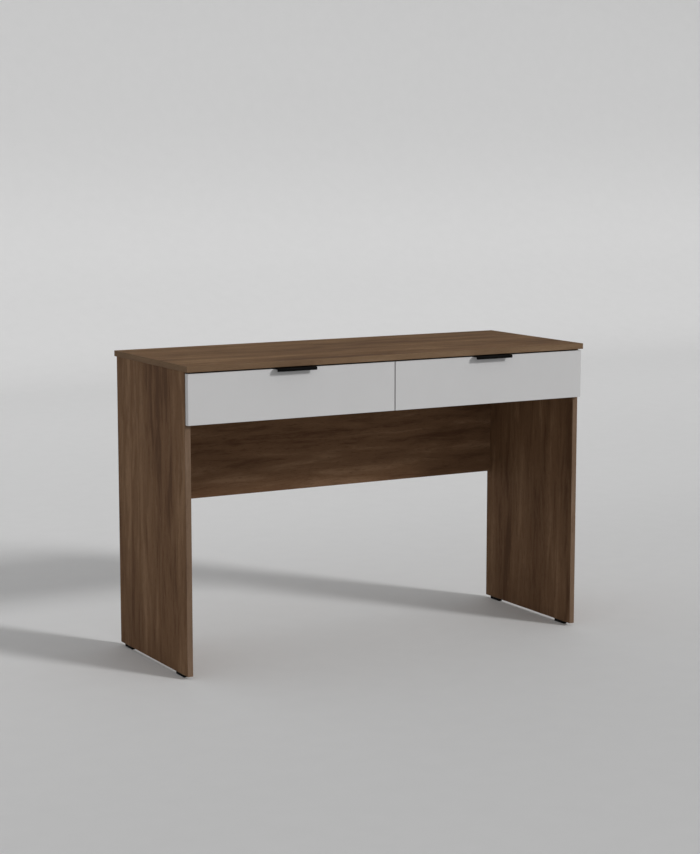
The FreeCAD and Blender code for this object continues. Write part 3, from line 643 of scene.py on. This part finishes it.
class Palette:
    """Every finish of the table, made once."""

    def __init__(self) -> None:
        """Makes the materials."""
        made = [
            WalnutFoil("walnut_top", Grain.ALONG_WIDTH, (0.0, 0.0, 0.0), tint_and_shade=(1.08, 1.07, 0.93)),
            WalnutFoil("walnut_back", Grain.ALONG_WIDTH, (3.1, 0.4, 0.9), tint_and_shade=(0.98, 0.98, 1.02)),
            WalnutFoil("walnut_left", Grain.UPRIGHT, (1.7, 2.2, 0.3)),
            # painted shade: this tint darkens the right panel for the shade on its inner face
            WalnutFoil("walnut_right", Grain.UPRIGHT, (5.3, 0.9, 2.4), tint_and_shade=(0.92, 0.92, 0.93)),
            WalnutFoil("walnut_divider", Grain.ALONG_DEPTH, (7.7, 1.6, 1.1)),
            WalnutBand("walnut_top_band", Grain.ALONG_WIDTH, (0.0, 0.0, 0.0), tint_and_shade=(1.06, 1.16, 1.24)),
            WalnutBand("walnut_side_band", Grain.UPRIGHT, (1.7, 2.2, 0.3), tint_and_shade=(0.98, 1.10, 1.32)),
            Coat("front_lacquer", colour=(0.602, 0.598, 0.598), spread=0.012, roughness=0.50, gloss=0.25,
                 edge=(0.80, 0.80, 0.79)),
            Coat("box_foil", colour=(0.62, 0.61, 0.58), spread=0.03, roughness=0.50, edge=(0.50, 0.40, 0.28),
                 edge_amount=0.5),
            # painted highlight: the pull's edges are painted lighter than its black powder
            Coat("pull_powder", colour=(0.002, 0.002, 0.002), spread=0.2, roughness=0.50, relief=0.00005,
                 relief_scale=1500.0, edge=(0.014, 0.014, 0.014), gloss=0.05),
            Coat("foot_plastic", colour=(0.002, 0.002, 0.002), spread=0.2, roughness=0.62, relief=0.00006,
                 relief_scale=1100.0, edge=(0.010, 0.010, 0.010), gloss=0.06),
            Coat("cap_plastic", colour=(0.13, 0.085, 0.056), spread=0.06, roughness=0.50,
                 edge=(0.22, 0.16, 0.11)),
            RolledSteel("rail_steel"),
            RolledSteel("screw_steel", colour=(0.70, 0.70, 0.68), roughness=0.26),
            Coat("cam_alloy", colour=(0.46, 0.46, 0.47), spread=0.15, roughness=0.38, edge=(0.7, 0.7, 0.7),
                 metal=1.0),
            PlainWood("beech"),
            PlainWood("hardboard", (0.50, 0.46, 0.40), (0.60, 0.56, 0.49),
                      Layer((220.0, 220.0, 220.0), 5.0, 0.65, start=0.30, full=0.70)),
        ]
        self.materials = {finish.name: finish.material() for finish in made}

    def dress(self, node: str, finish: str) -> None:
        """Gives a carried part its finish.

        Args:
            node: the part's name.
            finish: the finish's name.
        """
        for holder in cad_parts[node].material_slots:
            holder.material = self.materials[finish]
        LOG.info("%s is dressed in %s", node, finish)


# ---- Turned fittings -----------------------------------------------------------------------------------
HEAD, NECK, SHANK, COLLAR = "Head Radius", "Neck Radius", "Shank Radius", "Collar Radius"
RISE, LENGTH = "Rise", "Length"        # the height of the head, and the length under it
RECESS_ARMS = 4
ARM_EDGE = 0.7                         # the cosine of four times the angle, at the edge of an arm
FLUTE_DEPTH = 0.035                    # as a share of the radius
SHARP_TURN = 0.55                      # edges that turn further than this, in radians, stay sharp
THREAD_CORE = 0.80                     # as a share of the shank's radius: the ridge stands on it
THREAD_STEPS = 14                      # steps in one turn of the thread
RIDGE_SIDES = 4


@dataclass(frozen=True)
class Ring:
    """One ring of a turned fitting, from the middle of its head's face to its point."""

    of: str              # the size that its radius is a share of
    share: float
    rise: float          # its place along the axis: this many rises of the head
    length: float = 0.0  # and this many lengths of the shank
    cross: float = 0.0   # how much deeper it lies in the arms of the cross recess, in rises


def rings(of: str, *places: tuple[float, ...]) -> tuple[Ring, ...]:
    """Rings whose radii are shares of one size, each with its share, rises, lengths and cross."""
    return tuple(Ring(of, *place) for place in places)


def cross_recess(floor: float, top: float) -> tuple[Ring, ...]:
    """The rings of a cross recess in the middle of a head.

    Args:
        floor: the depth of the recess, in rises of the head.
        top: the depth of the head's face round it.

    Returns:
        Its rings, from the middle outwards.
    """
    deep = floor - top
    return rings(HEAD, (0.0, floor), (0.14, floor), (0.20, top, 0.0, deep), (0.50, top, 0.0, deep * 0.8),
                 (0.57, top))


class Kind(Enum):
    """The kinds of turned fitting, each with its rings."""

    PAN_SCREW = (
        *cross_recess(0.72, 0.04),
        *rings(HEAD, (0.70, 0.12), (0.88, 0.34), (0.98, 0.64), (1.0, 0.92), (0.96, 1.0)),
        *rings(SHANK, (0.98, 1.0), (0.78, 1.0, 0.06), (0.78, 1.0, 0.55), (0.16, 1.0, 0.99),
               (0.0, 1.0, 1.0)))
    SUNK_SCREW = (
        *cross_recess(0.85, 0.02),
        *rings(HEAD, (0.97, 0.0), (1.0, 0.10)),
        *rings(SHANK, (1.0, 1.0), (1.0, 1.0, 0.22), (0.78, 1.0, 0.24), (0.78, 1.0, 0.84),
               (0.16, 1.0, 0.995), (0.0, 1.0, 1.0)))
    NAIL = (
        *rings(HEAD, (0.0, 0.0), (0.84, 0.0), (1.0, 0.25), (1.0, 0.80), (0.94, 1.0)),
        *rings(SHANK, (1.0, 1.0), (1.0, 1.0, 0.88), (0.12, 1.0, 0.995), (0.0, 1.0, 1.0)))
    DOWEL = rings(
        SHANK, (0.0, 0.0), (0.74, 0.0), (0.93, 0.4), (1.0, 1.0), (1.0, 1.0, 0.5), (1.0, -1.0, 1.0),
        (0.93, -0.4, 1.0), (0.74, 0.0, 1.0), (0.0, 0.0, 1.0))
    BOLT = (
        *rings(HEAD, (0.0, 0.0), (0.80, 0.0), (1.0, 0.15), (1.0, 0.85), (0.82, 1.0)),
        *rings(NECK, (1.0, 1.0), (1.0, 2.0)),
        *rings(SHANK, (1.0, 2.2), (1.0, -3.667, 1.0)),
        *rings(COLLAR, (0.94, -3.667, 1.0), (1.0, -3.55, 1.0), (1.0, -2.80, 1.0), (0.94, -2.667, 1.0)),
        *rings(SHANK, (0.84, -2.667, 1.0), (0.84, 0.5, 1.0), (0.45, 1.0, 1.0), (0.0, 1.0, 1.0)))


@dataclass
class Fitting:
    """A turned fitting that stands wherever a carried part has one, made by one geometry tree."""

    kind: Kind
    sizes: dict[str, float]
    sides: int = 24
    flutes: int = 0
    thread_from: float = 0.0
    thread_to: float = 0.0
    pitch: float = 1.6 * MM
    is_head_widest: bool = True
    seed: int = 7

    def make(self, node: str, body: str, slot: str, material: bpy.types.Material) -> bpy.types.Object:
        """Makes the fittings that stand for a carried part.

        Args:
            node: the part's name.
            body: the body that they ride on.
            slot: not used.
            material: their finish.

        Returns:
            The finished piece.
        """
        places = self.places(node)
        host = bpy.data.meshes.new(f"{node}_places")
        host.from_pydata([place for place, _ in places], [], [])
        ways = host.attributes.new("way", "FLOAT_VECTOR", "POINT")
        ways.data.foreach_set("vector", [c for _, way in places for c in way])
        piece = bpy.data.objects.new(f"{node}_turned", host)
        bpy.context.scene.collection.objects.link(piece)
        maker = piece.modifiers.new("maker", "NODES")
        maker.node_group = self.tree()
        for item in maker.node_group.interface.items_tree:
            if item.in_out == "INPUT" and item.name in self.sizes:
                maker[item.identifier] = self.sizes[item.name]
            elif item.in_out == "INPUT" and item.name == "Finish":
                maker[item.identifier] = material
        graph = bpy.context.evaluated_depsgraph_get()
        mesh = bpy.data.meshes.new_from_object(piece.evaluated_get(graph), depsgraph=graph)
        piece.modifiers.clear()
        piece.data = mesh
        mesh.name = piece.name
        enter(piece, body, node)
        return piece

    def places(self, node: str) -> list[tuple[Vector, Vector]]:
        """Finds each fitting of a carried part.

        Args:
            node: the part's name.

        Returns:
            For each, the middle of its head's face and the way that it points.
        """
        copy = bmesh.new()
        copy.from_mesh(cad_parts[node].data)
        bmesh.ops.remove_doubles(copy, verts=copy.verts, dist=CLOSE)
        left, found = set(copy.verts), []
        while left:
            front, points = [left.pop()], []
            while front:
                vert = front.pop()
                points.append(vert.co.copy())
                for edge in vert.link_edges:
                    other = edge.other_vert(vert)
                    if other in left:
                        left.remove(other)
                        front.append(other)
            low = Vector(map(min, zip(*points)))
            high = Vector(map(max, zip(*points)))
            axis = max(range(3), key=lambda i: high[i] - low[i])
            middle = (low + high) / 2
            across = [i for i in range(3) if i != axis]
            widest = max(points, key=lambda p: sum((p[i] - middle[i]) ** 2 for i in across))
            is_low = (widest[axis] < middle[axis]) == self.is_head_widest
            head, way = middle.copy(), Vector()
            head[axis] = low[axis] if is_low else high[axis]
            way[axis] = 1.0 if is_low else -1.0
            found.append((head, way))
        copy.free()
        return sorted(found, key=lambda pair: tuple(round(c, 6) for c in pair[0]))

    def tree(self) -> bpy.types.NodeTree:
        """Writes the geometry tree.

        Returns:
            The tree, with a named input for each size.
        """
        tree = bpy.data.node_groups.new(f"{self.kind.name.lower()}_maker", "GeometryNodeTree")
        tree.interface.new_socket("Places", in_out="INPUT", socket_type="NodeSocketGeometry")
        for name in self.sizes:
            tree.interface.new_socket(name, in_out="INPUT", socket_type="NodeSocketFloat")
        tree.interface.new_socket("Finish", in_out="INPUT", socket_type="NodeSocketMaterial")
        tree.interface.new_socket("Fittings", in_out="OUTPUT", socket_type="NodeSocketGeometry")
        sheet = Sheet(tree)
        given = sheet.node("NodeGroupInput").outputs
        solid = self.turned(sheet, given)
        if self.thread_to > self.thread_from:
            joined = sheet.node("GeometryNodeJoinGeometry", {0: solid})
            sheet.feed(joined, 0, self.thread(sheet, given))
            solid = joined.outputs[0]
        set_out = sheet.node("GeometryNodeInstanceOnPoints", {
            "Points": given["Places"], "Instance": solid, "Rotation": self.facing(sheet)})
        real = sheet.node("GeometryNodeRealizeInstances", {0: set_out.outputs[0]}).outputs[0]
        finished = sheet.node("GeometryNodeSetMaterial", {"Geometry": real, "Material": given["Finish"]})
        sheet.node("NodeGroupOutput", {0: finished.outputs[0]})
        return tree

    def facing(self, sheet: Sheet) -> Socket:
        """Turns each fitting the way that it points, then rolls it by chance about its own axis.

        Args:
            sheet: the tree's sheet.

        Returns:
            The socket of its rotation.
        """
        way = sheet.node("GeometryNodeInputNamedAttribute", {"Name": "way"}, data_type="FLOAT_VECTOR")
        ahead = sheet.node("FunctionNodeAlignRotationToVector", {"Vector": way.outputs[0]}, axis="Z")
        chance = sheet.node("FunctionNodeRandomValue", {2: 0.0, 3: math.pi, "Seed": self.seed},
                            data_type="FLOAT").outputs[1]
        roll = sheet.node("FunctionNodeAxisAngleToRotation", {"Axis": (0.0, 0.0, 1.0), "Angle": chance})
        return sheet.node("FunctionNodeRotateRotation", {0: ahead.outputs[0], 1: roll.outputs[0]},
                          rotation_space="LOCAL").outputs[0]

    def turned(self, sheet: Sheet, given: bpy.types.bpy_prop_collection) -> Socket:
        """Turns the rings into a closed skin.

        Args:
            sheet: the tree's sheet.
            given: the tree's inputs.

        Returns:
            The socket of the solid, its head's face at the origin and its axis along Z.
        """
        profile = self.kind.value
        grid = sheet.node("GeometryNodeMeshGrid", {
            "Size X": 1.0, "Size Y": 1.0, "Vertices X": self.sides + 1,
            "Vertices Y": len(profile)}).outputs[0]
        flat = sheet.axes(sheet.node("GeometryNodeInputPosition").outputs[0])
        angle = sheet.times(sheet.total(flat["X"], 0.5), math.tau)
        row = sheet.maths("ROUND", sheet.times(sheet.total(flat["Y"], 0.5), len(profile) - 1))
        choose = sheet.node("GeometryNodeIndexSwitch", {"Index": row}, data_type="VECTOR")
        while len(choose.index_switch_items) < len(profile):
            choose.index_switch_items.new()
        for index, ring in enumerate(profile):
            depth = sheet.total(sheet.times(given[RISE], ring.rise), sheet.times(given[LENGTH], ring.length))
            sheet.feed(choose, index + 1, sheet.vector(sheet.times(given[ring.of], ring.share),
                                                       sheet.times(given[RISE], ring.cross), depth))
        chosen = sheet.axes(choose.outputs[0])
        is_arm = sheet.maths("GREATER_THAN", sheet.maths("COSINE", sheet.times(angle, RECESS_ARMS)), ARM_EDGE)
        depth = sheet.total(chosen["Z"], sheet.times(chosen["Y"], is_arm))
        radius = chosen["X"]
        if self.flutes:
            ripple = sheet.maths("COSINE", sheet.times(angle, self.flutes))
            radius = sheet.times(radius, sheet.total(sheet.times(ripple, FLUTE_DEPTH), 1.0 - FLUTE_DEPTH))
        place = sheet.vector(sheet.times(radius, sheet.maths("COSINE", angle)),
                             sheet.times(radius, sheet.maths("SINE", angle)), depth)
        bent = sheet.node("GeometryNodeSetPosition", {"Geometry": grid, "Position": place}).outputs[0]
        closed = sheet.node("GeometryNodeMergeByDistance", {"Geometry": bent, "Distance": CLOSE}).outputs[0]
        smooth = sheet.node("GeometryNodeSetShadeSmooth", {"Geometry": closed, "Shade Smooth": True},
                            domain="FACE").outputs[0]
        turn = sheet.node("GeometryNodeInputMeshEdgeAngle").outputs["Unsigned Angle"]
        is_sharp = sheet.maths("GREATER_THAN", turn, SHARP_TURN)
        return sheet.node("GeometryNodeSetShadeSmooth", {
            "Geometry": smooth, "Selection": is_sharp, "Shade Smooth": False}, domain="EDGE").outputs[0]

    def thread(self, sheet: Sheet, given: bpy.types.bpy_prop_collection) -> Socket:
        """Winds the thread round the shank.

        Args:
            sheet: the tree's sheet.
            given: the tree's inputs.

        Returns:
            The socket of the thread's mesh.
        """
        reach = sheet.times(given[LENGTH], self.thread_to - self.thread_from)
        start = sheet.total(given[RISE], sheet.times(given[LENGTH], self.thread_from))
        core = sheet.times(given[SHANK], THREAD_CORE)
        helix = sheet.node("GeometryNodeCurveSpiral", {
            "Resolution": THREAD_STEPS, "Rotations": sheet.maths("DIVIDE", reach, self.pitch),
            "Start Radius": core, "End Radius": core, "Height": reach}).outputs[0]
        upright = sheet.node("GeometryNodeSetCurveNormal", {"Curve": helix}, mode="Z_UP").outputs[0]
        ridge = sheet.node("GeometryNodeCurvePrimitiveCircle", {
            "Resolution": RIDGE_SIDES, "Radius": sheet.times(given[SHANK], 1.0 - THREAD_CORE)}, mode="RADIUS")
        wound = sheet.node("GeometryNodeCurveToMesh", {
            "Curve": upright, "Profile Curve": ridge.outputs[0], "Fill Caps": True}).outputs[0]
        return sheet.node("GeometryNodeTransform", {
            "Geometry": wound, "Translation": sheet.vector(z=start)}).outputs[0]


def enter(piece: bpy.types.Object, body: str, node: str) -> None:
    """Puts a finished piece on its body and hides the carried part that it stands for.

    Args:
        piece: the piece.
        body: the body that it rides on.
        node: the carried part that it stands for.
    """
    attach(piece, body)
    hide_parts(node)
    LOG.info("%s rides on %s, %d faces", piece.name, body, len(piece.data.polygons))


def pan_screw(length: float, rise: float, head: float = 3.4 * MM, shank: float = 1.7 * MM) -> Fitting:
    """A pan-head screw.

    Args:
        length: its length under the head.
        rise: the height of the head.
        head: the radius of the head.
        shank: the radius of the thread.

    Returns:
        The fitting.
    """
    sizes = {HEAD: head, RISE: rise, SHANK: shank, LENGTH: length}
    return Fitting(Kind.PAN_SCREW, sizes, thread_from=0.10, thread_to=0.62, pitch=1.3 * MM)


def cam_bolt(length: float, rise: float = 3.0 * MM, thread_start: float = 10.5 * MM,
             thread_end: float = 2.2 * MM) -> Fitting:
    """A cam bolt, with a head for the cam, a narrow neck, and a collar before its thread.

    Args:
        length: its whole length.
        rise: the height of the head.
        thread_start: how far from the point the thread starts.
        thread_end: how far from the point it ends.

    Returns:
        The fitting.
    """
    under = length - rise
    sizes = {HEAD: 3.0 * MM, NECK: 1.9 * MM, SHANK: 2.5 * MM, COLLAR: 3.9 * MM, RISE: rise, LENGTH: under}
    return Fitting(Kind.BOLT, sizes, thread_from=1.0 - thread_start / under,
                   thread_to=1.0 - thread_end / under, pitch=1.9 * MM, is_head_widest=False)


# ---- The table -----------------------------------------------------------------------------------------
@dataclass
class Pull:
    """An edge pull of bent sheet: a flange behind the drawer front, a plate over it and a lip before it."""

    node: str
    body: str
    sheet: float = 2.0 * MM
    lip: float = 8.0 * MM
    lip_bend: float = 2.6 * MM
    back_bend: float = 1.6 * MM
    corner: float = 1.6 * MM
    ease: float = 0.35 * MM
    steps: int = 6                             # steps in a quarter turn of a bend
    corner_steps: int = 5
    ease_steps: int = 2
    eased_from: float = 0.7                    # edges that turn further than this, in radians, are eased
    smooth_below: float = math.radians(40.0)

    def outline(self, low: Vector, high: Vector) -> list[tuple[float, float]]:
        """The section of the bent sheet.

        Args:
            low: the lowest corner of the pull.
            high: its highest corner.

        Returns:
            The Y and Z of each point, in order round the section.
        """
        lip_end, under = high.z - self.lip, high.z - self.sheet
        points = [(high.y, low.z)]
        points += self.bend(high.y - self.back_bend, high.z - self.back_bend, self.back_bend, 0.0)
        points += self.bend(low.y + self.lip_bend, high.z - self.lip_bend, self.lip_bend, math.pi / 2)
        points += [(low.y, lip_end), (low.y + self.sheet, lip_end)]
        inner = self.bend(low.y + self.lip_bend, high.z - self.lip_bend, self.lip_bend - self.sheet,
                          math.pi / 2)
        points += inner[::-1]
        return points + [(high.y - self.sheet, under), (high.y - self.sheet, low.z)]

    def bend(self, y: float, z: float, radius: float, start: float) -> list[tuple[float, float]]:
        """A quarter turn.

        Args:
            y: the Y of its centre.
            z: the Z of its centre.
            radius: its radius.
            start: the angle that it starts from.

        Returns:
            The Y and Z of its points.
        """
        turns = [start + math.pi / 2 * i / self.steps for i in range(self.steps + 1)]
        return [(y + radius * math.cos(t), z + radius * math.sin(t)) for t in turns]

    def build(self, material: bpy.types.Material) -> None:
        """Makes the pull.

        Args:
            material: its finish.
        """
        low, high = (Vector(corner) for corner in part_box(self.node))
        section = self.outline(low, high)
        shape = bmesh.new()
        ends = [[shape.verts.new((x, y, z)) for y, z in section] for x in (low.x, high.x)]
        shape.faces.new(ends[0])
        shape.faces.new(ends[1][::-1])
        for i in range(len(section)):
            j = (i + 1) % len(section)
            shape.faces.new((ends[0][j], ends[0][i], ends[1][i], ends[1][j]))
        bmesh.ops.recalc_face_normals(shape, faces=shape.faces)
        lip_end = high.z - self.lip
        tips = [e for e in shape.edges if all(abs(v.co.z - lip_end) < CLOSE for v in e.verts)
                and abs(e.verts[0].co.x - e.verts[1].co.x) < CLOSE]
        bmesh.ops.bevel(shape, geom=tips, offset=self.corner, segments=self.corner_steps, profile=0.5,
                        affect="EDGES")
        sharp = [e for e in shape.edges
                 if len(e.link_faces) == 2 and e.calc_face_angle(0.0) > self.eased_from]
        bmesh.ops.bevel(shape, geom=sharp, offset=self.ease, segments=self.ease_steps, profile=0.5,
                        affect="EDGES")
        mesh = bpy.data.meshes.new(f"{self.node}_sheet")
        shape.to_mesh(mesh)
        shape.free()
        mesh.polygons.foreach_set("use_smooth", [True] * len(mesh.polygons))
        mesh.set_sharp_from_angle(angle=self.smooth_below)
        mesh.materials.append(material)
        piece = bpy.data.objects.new(mesh.name, mesh)
        bpy.context.scene.collection.objects.link(piece)
        enter(piece, self.body, self.node)


@dataclass
class Carcass:
    """The boards, feet and fittings that stay still."""

    body: str = "table_frame"
    screw_length: float = 7.5 * MM
    screw_rise: float = 1.5 * MM
    bolt_length: float = 46.0 * MM
    nail: dict[str, float] = field(default_factory=lambda: {
        HEAD: 2.4 * MM, RISE: 1.0 * MM, SHANK: 1.0 * MM, LENGTH: 17.0 * MM})
    dowel: dict[str, float] = field(default_factory=lambda: {
        RISE: 1.0 * MM, SHANK: 4.0 * MM, LENGTH: 28.0 * MM})

    def build(self, palette: Palette) -> None:
        """Dresses the carried parts and makes the turned fittings.

        Args:
            palette: the finishes.
        """
        for node, finish in {
            "top_panel": "walnut_top", "top_panel_edge_bands": "walnut_top_band",
            "back_panel": "walnut_back", "back_panel_edge_band": "walnut_back",
            "centre_divider": "walnut_divider", "centre_divider_edge_bands": "walnut_divider",
            "cams": "cam_alloy", "cam_cover_caps": "cap_plastic",
        }.items():
            palette.dress(node, finish)
        for side in ("left", "right"):
            palette.dress(f"{side}_side_panel", f"walnut_{side}")
            palette.dress(f"{side}_side_panel_edge_bands", "walnut_side_band")
            for end in ("front", "back"):
                palette.dress(f"{end}_{side}_foot", "foot_plastic")
        made = palette.materials
        steel = made["screw_steel"]
        pan_screw(self.screw_length, self.screw_rise).make("outer_rail_screws", self.body, "screw", steel)
        cam_bolt(self.bolt_length).make("cam_bolts", self.body, "screw", steel)
        Fitting(Kind.NAIL, self.nail, sides=16).make("foot_nails", self.body, "screw", steel)
        Fitting(Kind.DOWEL, self.dowel, sides=48, flutes=16).make("dowels", self.body, "dowel", made["beech"])


@dataclass
class Drawer:
    """One drawer with its pull, its screws and its two slides."""

    side: str
    rail_screw_length: float = 10.5 * MM
    rail_screw_rise: float = 1.5 * MM
    pull_screw_length: float = 14.0 * MM
    pull_screw_rise: float = 1.8 * MM
    bolt_length: float = 36.0 * MM
    box_screw: dict[str, float] = field(default_factory=lambda: {
        HEAD: 4.0 * MM, RISE: 2.0 * MM, SHANK: 2.0 * MM, LENGTH: 38.0 * MM})

    def build(self, palette: Palette) -> None:
        """Dresses the carried parts and makes the pull and the screws.

        Args:
            palette: the finishes.
        """
        name = f"{self.side}_drawer"
        for part, finish in {
            "front": "front_lacquer", "left_side": "box_foil", "right_side": "box_foil", "back": "box_foil",
            "base": "hardboard", "cams": "cam_alloy",
            "outer_ball_strips": "rail_steel", "inner_ball_strips": "rail_steel",
        }.items():
            palette.dress(f"{name}_{part}", finish)
        for place in ("left", "right"):
            for rail in ("outer", "middle", "inner"):
                palette.dress(f"{name}_{place}_{rail}_rail", "rail_steel")
        made = palette.materials
        Pull(f"{name}_pull", name).build(made["pull_powder"])
        steel = made["screw_steel"]
        for part, fitting in {
            "rail_screws": pan_screw(self.rail_screw_length, self.rail_screw_rise),
            "pull_screws": pan_screw(self.pull_screw_length, self.pull_screw_rise),
            "cam_bolts": cam_bolt(self.bolt_length),
            "box_screws": Fitting(Kind.SUNK_SCREW, self.box_screw, thread_from=0.24, thread_to=0.86,
                                  pitch=2.0 * MM),
        }.items():
            fitting.make(f"{name}_{part}", name, "screw", steel)


# ---- Studio --------------------------------------------------------------------------------------------
@dataclass
class Studio:
    """The pale floor that sweeps up into walls, the lights and the camera."""

    floor_front: float = -9.0              # where the flat floor ends before the table, in metres
    wall_at: float = 8.0
    sweep: float = 2.6                     # the radius of the sweep from floor to wall
    wall_top: float = 9.0
    low_wall: float = 3.2                  # the top of the walls that aren't behind the table
    half_width: float = 12.0
    steps: int = 24
    round_steps: int = 48
    key_way: Place = (0.64, -1.0, 0.60)
    key_strength: float = 1.50
    key_spread: float = 10.0               # degrees, as the heading and the tilt are
    room_strength: float = 0.37
    eye: Place = (-2.6447, -4.6572, 1.3227)
    heading: float = -29.472
    tilt: float = -7.977
    lens: float = 85.224
    sensor: float = 36.0

    def build(self) -> None:
        """Builds the whole studio."""
        self.backdrop()
        self.lights()
        self.camera()

    def backdrop(self) -> None:
        """The floor, which sweeps up into a wall on every side, as one smooth sheet."""
        inner_back = self.wall_at - self.sweep
        rim = []
        for turn in (math.tau * (i + 0.5) / self.round_steps for i in range(self.round_steps)):
            way = Vector((math.cos(turn), math.sin(turn)))
            rim.append((Vector((math.copysign(self.half_width, way.x),
                                inner_back if way.y > 0.0 else self.floor_front)), way))
        verts = [(corner.x, corner.y, 0.0) for corner, _ in rim]
        turns = [math.pi / 2 * i / self.steps for i in range(1, self.steps + 1)]
        for turn in turns:
            out, up = self.sweep * math.sin(turn), self.sweep * (1.0 - math.cos(turn))
            verts += [(corner.x + way.x * out, corner.y + way.y * out, up) for corner, way in rim]
        for corner, way in rim:
            place = corner + way * self.sweep
            rise = (self.wall_top - self.low_wall) * max(0.0, way.y)
            verts.append((place.x, place.y, self.low_wall + rise))
        faces = [tuple(range(len(rim)))]
        for ring in range(self.steps + 1):
            for i in range(len(rim)):
                j = (i + 1) % len(rim)
                low, high = ring * len(rim), (ring + 1) * len(rim)
                faces.append((low + j, low + i, high + i, high + j))
        mesh = bpy.data.meshes.new("backdrop")
        mesh.from_pydata(verts, [], faces)
        mesh.polygons.foreach_set("use_smooth", [True] * len(faces))
        mesh.materials.append(Paper("backdrop_paper").material())
        backdrop = bpy.data.objects.new("backdrop", mesh)
        bpy.context.scene.collection.objects.link(backdrop)

    def lights(self) -> None:
        """A low, slightly soft key from the front right, and the room's own even light."""
        key = bpy.data.lights.new("key_light", "SUN")
        key.energy, key.angle = self.key_strength, math.radians(self.key_spread)
        made = bpy.data.objects.new("key_light", key)
        made.rotation_mode = "QUATERNION"
        made.rotation_quaternion = (-Vector(self.key_way)).to_track_quat("-Z", "Y")
        bpy.context.scene.collection.objects.link(made)
        world = bpy.data.worlds.new("room")
        world.use_nodes = True
        shade = world.node_tree.nodes["Background"].inputs
        shade["Color"].default_value = (1.0, 1.0, 1.0, 1.0)
        shade["Strength"].default_value = self.room_strength
        bpy.context.scene.world = world
        bpy.context.scene.view_settings.view_transform = "Standard"

    def camera(self) -> None:
        """The camera, in front of the table's left end, looking slightly down."""
        data = bpy.data.cameras.new("camera")
        data.lens, data.sensor_width = self.lens, self.sensor
        made = bpy.data.objects.new("camera", data)
        made.location = self.eye
        made.rotation_euler = (math.pi / 2 + math.radians(self.tilt), 0.0, math.radians(self.heading))
        bpy.context.scene.collection.objects.link(made)
        bpy.context.scene.camera = made


def main() -> None:
    """Builds the table's looks and the studio round it."""
    logging.basicConfig(level=logging.INFO, format="%(message)s")
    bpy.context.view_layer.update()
    palette = Palette()
    Carcass().build(palette)
    for side in ("left", "right"):
        Drawer(side).build(palette)
    Studio().build()


if __name__ == "__main__":
    main()
